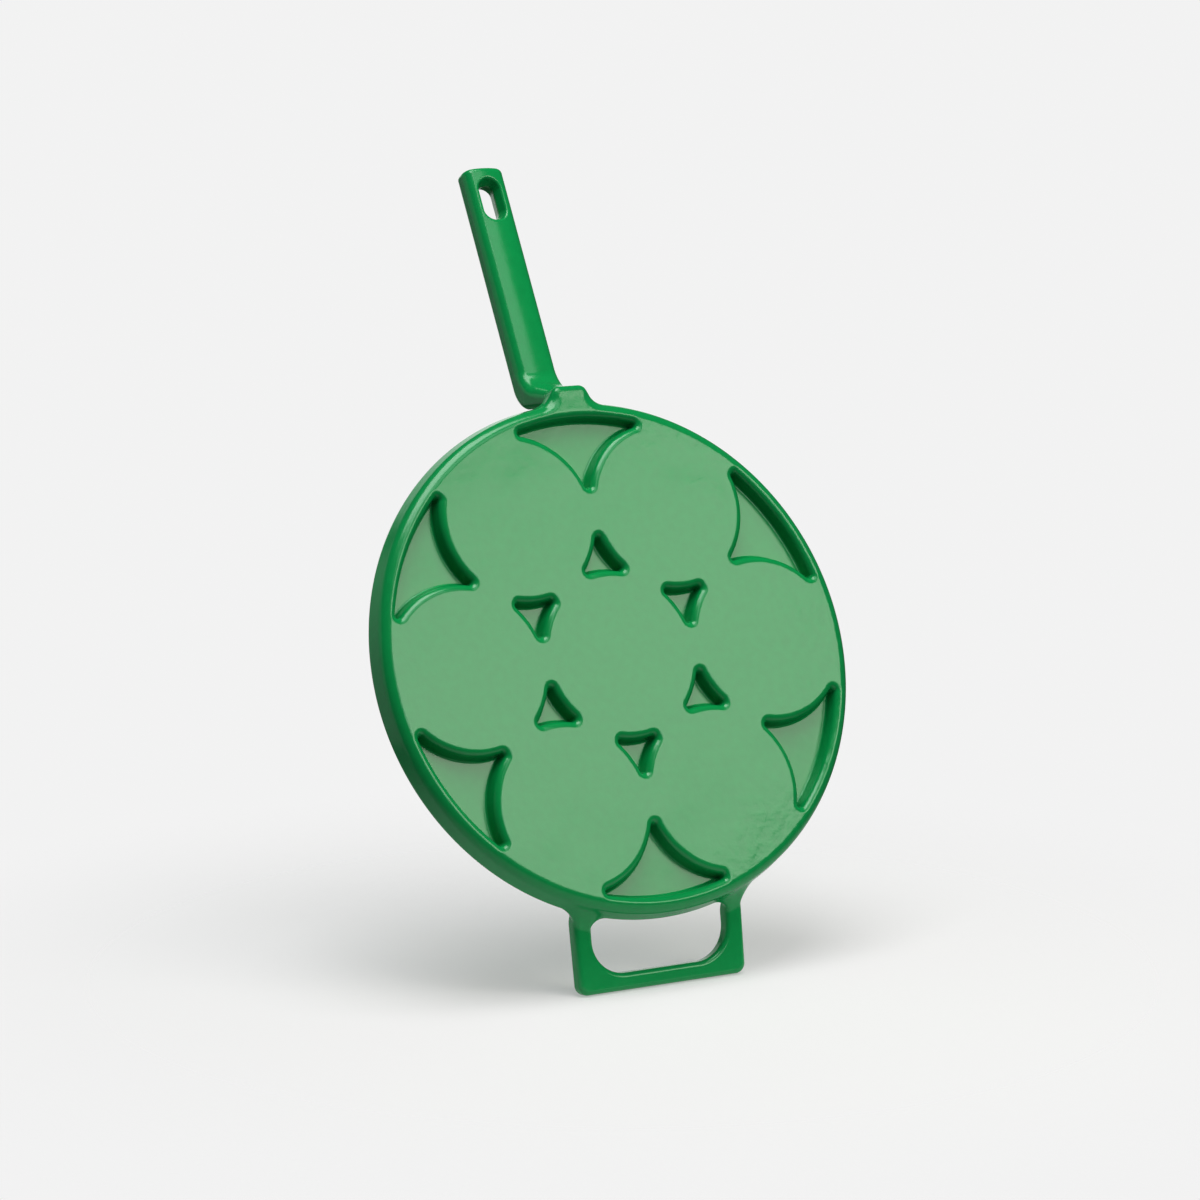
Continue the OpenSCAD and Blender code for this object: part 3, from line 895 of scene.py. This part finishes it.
def cookingSide(edgeRing):
    # Flat land inside the plate's edge, with its wells. Gives the patches and the edge's points
    patches, rings = [], []
    profile = wallProfile(wells, pan["land"] - wells["floor"])
    step = 2 * math.pi / wells["count"]
    turns = step * (np.arange(wells["count"]) + 0.5)
    for centre in [np.zeros(2)] + [wells["pitch"] * np.array([math.cos(a), math.sin(a)]) for a in turns]:

        def ringAt(inset):
            ring, out = arcPoints(centre, wells["radius"] - inset, 0, 2 * math.pi, wells["columns"])
            return ring, -out

        patches.append(facing(*hollowPatch(ringAt, profile, centre, wells["floorRows"], pan["land"], -1.0)))
        rings.append(ringAt(profile[0, 0])[0])
    loose = np.concatenate([edgeRing * (r / pan["plateRadius"]) for r in wells["landRings"]])
    flat, tris = filled(rings + [edgeRing], loose, ringTest(rings))
    points = np.concatenate([flat, np.full((len(flat), 1), pan["land"] + 0.05)], -1)
    points = settle(body, points, [outward(points), around(points)], 6)
    patches.append(facing(points, normalsOf(body, points), tris))
    before = sum(len(ring) for ring in rings)
    return patches, points[before:before + len(edgeRing)]


def plateSkin():
    # Underside and cooking side, joined round the plate's edge by one upright strip
    turn = np.linspace(0, 2 * math.pi, pan["columns"] + 1)[:-1]
    edgeRing = pan["plateRadius"] * np.stack([np.cos(turn), np.sin(turn)], -1)
    under, below = underside(edgeRing)
    top, above = cookingSide(edgeRing)
    side = np.stack([below, above]).reshape(-1, 3)
    return under + top + [facing(side, outward(side), gridTris(2, len(edgeRing), wrap=True))]


# First draft of the lip's section, before it settles on the body, in mm
lip = {
    "baseRows": 12,
    "wallRows": 10,
    "topRows": 16,
    "innerRows": 9,
    "wallShort": (0.4, 1.5),  # how far the wall ends inside and below the lip's widest place
    "topArc": math.radians(130),
    "topHalf": (2.2, 2.4),  # half width and height of the arc over the lip
    "innerShort": (0.4, 0.6),  # how far the inner wall begins outside and below the lip's inner edge
    "landGap": 0.1,  # how far above the land it ends
    "columnsPerDegree": 2,
}


def lipSection():
    # Base rounding, leaning wall, arc over the lip and inner wall, as (radius, height) rows
    r0, r1, h, b = pan["plateRadius"], pan["radius"], pan["height"], pan["baseRound"]
    wallFoot = r1 - pan["wallLean"]
    quarter = np.linspace(math.asin((r0 - wallFoot + b) / b), math.pi / 2, lip["baseRows"])
    over = np.linspace(0, lip["topArc"], lip["topRows"])
    wide, high = lip["topHalf"]
    wallIn, wallDown = lip["wallShort"]
    innerOut, innerDown = lip["innerShort"]
    return np.concatenate([
        np.stack([wallFoot - b + b * np.sin(quarter), b - b * np.cos(quarter)], -1),
        np.stack([np.linspace(wallFoot, r1 - wallIn, lip["wallRows"])[1:],
                  np.linspace(b, pan["lipHeight"] - wallDown, lip["wallRows"])[1:]], -1),
        np.stack([(r1 + pan["lipInner"]) / 2 + wide * np.cos(over), h - high + high * np.sin(over)], -1),
        np.stack([np.linspace(pan["lipInner"] + innerOut, r0, lip["innerRows"]),
                  np.linspace(h - innerDown, pan["land"] + lip["landGap"], lip["innerRows"])], -1),
    ])


def rimArc(start, end):
    # The lip's section carried round the pan from one angle to another, and closed at both ends. It
    # settles in a plane through the axis, and its two ends keep their radius
    count = int(math.degrees(abs(end - start)) * lip["columnsPerDegree"])
    turn = np.linspace(start, end, count + 1)
    section = lipSection()
    ring = np.stack([np.zeros(len(section)), section[:, 0], section[:, 1]], -1)
    hold = np.zeros_like(ring)
    hold[:, 0] = 1
    ends = np.zeros_like(ring)
    ends[[0, -1], 1] = 1
    ring = settle(body, ring, [hold, ends], 8)
    c, s = np.cos(turn)[:, None], np.sin(turn)[:, None]
    grid = np.stack([ring[:, 1] * c, ring[:, 1] * s, np.broadcast_to(ring[:, 2], (len(turn), len(ring)))], -1)
    points = grid.reshape(-1, 3)
    skin = facing(points, normalsOf(body, points), gridTris(*grid.shape[:2]))
    inner = grid[:, [0, -1]].reshape(-1, 3)
    patches = [skin, facing(inner, -outward(inner), gridTris(len(turn), 2))]
    edges = np.arange(len(ring))
    face = triangulated(ring[:, 1:], np.stack([edges, np.roll(edges, -1)], -1))
    for row, sign in ((0, -1), (-1, 1)):
        patches.append(facing(grid[row], around(grid[row]) * sign * np.sign(end - start), face))
    return patches


# Where the parts of the casting give way to each other, and the boxes of the lattices, which clear their
# parts on every side; lengths in mm
roots = {
    "handleTurn": math.radians(10),  # the lip ends this far either side of each handle
    "helperTurn": math.radians(27),
    "neckCut": 18.0,  # height at which the tab's part ends
    "start": 123.3,  # radius and height from which a root's box runs
    "under": -0.9,
    "clear": 1.3,
    "tabEnd": 143.9,
    "tabTop": 19.5,
    "tabStep": 0.6,
    "armBox": ((126.0, -12.1, 16.65), (267.0, 12.1, 58.0)),
    "armStep": 0.8,
    "helperEnd": 171.0,
    "helperStep": 0.7,
}


def rootBox(arc, end, top):
    # Lattice box of a root: radius, arc length at the rim, height
    return (roots["start"], -arc - roots["clear"], roots["under"]), (end, arc + roots["clear"], top)


def inPlan(p):
    # The two coordinates of a level cut
    return p[:, :2]


def seamCuts(arc, back=1):
    # Cuts of a root piece: on the plate's edge, and either side where the lip goes on; back is -1 behind
    inner = pan["plateRadius"]

    def alongEdge(p):
        return np.stack([np.arctan2(p[:, 1] * back, p[:, 0] * back) * inner, p[:, 2]], -1)

    def throughLip(p):
        return np.stack([np.hypot(p[:, 0], p[:, 1]), p[:, 2]], -1)

    return [(0, inner, -1, outward, alongEdge), (1, arc, 1, around, throughLip),
            (1, -arc, -1, around, throughLip)]


print("making the plate")
wellPlate = makePiece("wellPlate", plateSkin(), enamelled, ["well_plate"])
print("making the lip")
lipEnds = roots["handleTurn"], math.pi - roots["helperTurn"]
makePiece("rimWall", rimArc(*lipEnds) + rimArc(-lipEnds[1], -lipEnds[0]), enamelled, ["rim"])
print("making the handle")
tabArc = roots["handleTurn"] * pan["radius"]
tabBox = rootBox(tabArc, roots["tabEnd"], roots["tabTop"])
neckTop = (2, roots["neckCut"], 1, upward, inPlan)
neckFoot = (2, roots["neckCut"], -1, upward, inPlan)
castSkin("handleTab", handleCasting, tabBox, roots["tabStep"], polar, seamCuts(tabArc) + [neckTop],
         ["handle_tab"], enamelled)
castSkin("longHandle", handleCasting, roots["armBox"], roots["armStep"], asPlaced, [neckFoot],
         ["handle_neck", "long_handle"], enamelled)
print("making the helper handle")
helperArc = roots["helperTurn"] * pan["radius"]
helperBox = rootBox(helperArc, roots["helperEnd"], helperHigh[2] + roots["clear"])
helperHandle = castSkin("helperHandle", helperCasting, helperBox, roots["helperStep"], polarBehind,
                        seamCuts(helperArc, -1), ["helper_handle"], enamelled)

# Floor, light and camera for the photograph's view, in metres, with the lens in mm
stage = {
    "floorUp": (0.9216, 0.0, -0.3887),  # directions are in the pan's frame
    "floorAlbedo": 0.77,
    "floorGlow": 0.45,
    "floorSize": 1.6,
    "floorFade": (0.08, 0.42),
    "backdrop": 0.905,
    "contrast": 0.85,
    "fill": 0.08,
    "aim": (0.03, 0.0, 0.01),  # where the lamps point
    "lampDistance": 1.6,
    "camera": (-0.3101, -0.9510, -1.7009),
    "right": (-0.18878, 0.87397, -0.44782),
    "down": (-0.96701, -0.08602, 0.23976),
    "lens": 121.05,
    "sensor": 36.0,
    "farthest": 20,
}
# Softboxes: direction in the pan's frame, width and height in metres, and power in watts
softboxes = {
    "overhead": {"from": (0.88, -0.10, -0.46), "size": (1.0, 1.1), "power": 24.0},
    "frontTop": {"from": (0.55, 0.09, -0.83), "size": (1.0, 0.5), "power": 4.2},
    "rightSide": {"from": (0.13, 0.46, -0.878), "size": (0.85, 0.6), "power": 8.8, "tint": (1.0, 0.97, 0.87)},
    "front": {"from": (0.00, 0.12, -0.993), "size": (0.5, 0.5), "power": 3.0},
    "left": {"from": (0.25, -0.85, 0.47), "size": (2.0, 1.6), "power": 5.5},
    "behind": {"from": (0.45, 0.20, 0.87), "size": (1.6, 1.2), "power": 6.5},
}


def aimed(place, toward, up):
    # Placement of a light or camera that looks along -Z with its Y near up
    z = (Vector(place) - Vector(toward)).normalized()
    x = Vector(up).cross(z).normalized()
    return Matrix.Translation(place) @ Matrix((x, z.cross(x), z)).transposed().to_4x4()


def addCamera():
    # Stands where the photograph was taken, turned by the picture's right and down directions
    right, down = Vector(stage["right"]), Vector(stage["down"])
    lens = bpy.data.cameras.new("camera")
    lens.lens, lens.sensor_width, lens.clip_end = stage["lens"], stage["sensor"], stage["farthest"]
    camera = bpy.data.objects.new("camera", lens)
    turn = Matrix((right, -down, -right.cross(down))).transposed().to_4x4()
    camera.matrix_world = Matrix.Translation(stage["camera"]) @ turn
    bpy.context.scene.collection.objects.link(camera)
    bpy.context.scene.camera = camera


def addSoftbox(name, settings):
    # A rectangular lamp that faces the pan
    lamp = bpy.data.lights.new(name, "AREA")
    lamp.shape, lamp.energy = "RECTANGLE", settings["power"]
    lamp.size, lamp.size_y = settings["size"]
    lamp.color = settings.get("tint", (1.0, 1.0, 1.0))
    box = bpy.data.objects.new(name, lamp)
    middle = Vector(stage["aim"])
    place = middle + Vector(settings["from"]).normalized() * stage["lampDistance"]
    box.matrix_world = aimed(place, middle, stage["floorUp"])
    bpy.context.scene.collection.objects.link(box)


def floorMaterial(middle):
    # Matt and pale, mixed with the backdrop's own grey, and clear far from the middle and from behind
    material = bpy.data.materials.new("paleFloor")
    material.use_nodes = True
    tree = material.node_tree
    shader = tree.nodes["Principled BSDF"]
    shader.inputs["Base Color"].default_value = grey(stage["floorAlbedo"])
    shader.inputs["Roughness"].default_value = 0.9
    shader.inputs["Specular IOR Level"].default_value = 0.0
    place = nodeOf(tree, "ShaderNodeTexCoord", (-900, 0)).outputs["Object"]
    away = vectorOf(tree, "DISTANCE", (-700, 0), place, middle)
    fade = rangeOf(tree, (-500, 0), away, stage["floorFade"], soft=True)
    back = nodeOf(tree, "ShaderNodeNewGeometry", (-700, -300)).outputs["Backfacing"]
    hidden = mathOf(tree, "MAXIMUM", (-300, 0), fade, back)
    clear = nodeOf(tree, "ShaderNodeBsdfTransparent", (0, -200))
    glow = nodeOf(tree, "ShaderNodeEmission", (0, 200), Color=grey(stage["backdrop"]))
    lit = nodeOf(tree, "ShaderNodeMixShader", (100, 100), Fac=stage["floorGlow"])
    give(tree, lit.inputs[1], shader.outputs[0])
    give(tree, lit.inputs[2], glow.outputs[0])
    mix = nodeOf(tree, "ShaderNodeMixShader", (200, 0), Fac=hidden)
    give(tree, mix.inputs[1], lit.outputs[0])
    give(tree, mix.inputs[2], clear.outputs[0])
    give(tree, tree.nodes["Material Output"].inputs["Surface"], mix.outputs[0])
    return material


def addFloor(standing):
    # A square that touches the lowest of the standing pieces, shown as a disc that fades out
    up = Vector(stage["floorUp"]).normalized()
    low = min((coordsOf(piece.data) @ np.array(up)).min() for piece in standing)
    middle = up * low
    bm = bmesh.new()
    bmesh.ops.create_grid(bm, x_segments=1, y_segments=1, size=stage["floorSize"])
    bm.transform(aimed(middle, middle - up, (0, 1, 0)))
    mesh = bpy.data.meshes.new("floor")
    bm.to_mesh(mesh)
    bm.free()
    mesh.materials.append(floorMaterial(middle))
    floor = bpy.data.objects.new("floor", mesh)
    bpy.context.scene.collection.objects.link(floor)


def addWorld():
    # One grey for what the camera sees, and a weaker one that lights the pan
    world = bpy.data.worlds.new("studio")
    bpy.context.scene.world = world
    world.use_nodes = True
    tree = world.node_tree
    seen = tree.nodes["Background"]
    seen.inputs["Color"].default_value = grey(stage["backdrop"])
    light = nodeOf(tree, "ShaderNodeBackground", (0, -200), Color=grey(1), Strength=stage["fill"])
    path = nodeOf(tree, "ShaderNodeLightPath", (-200, 200))
    mix = nodeOf(tree, "ShaderNodeMixShader", (200, 0), Fac=path.outputs["Is Camera Ray"])
    give(tree, mix.inputs[1], light.outputs[0])
    give(tree, mix.inputs[2], seen.outputs[0])
    give(tree, tree.nodes["World Output"].inputs["Surface"], mix.outputs[0])


addCamera()
addFloor([wellPlate, helperHandle])
addWorld()
for name, settings in softboxes.items():
    addSoftbox(name, settings)
look = bpy.context.scene.view_settings
look.view_transform, look.gamma = "Standard", stage["contrast"]
print("stage set")
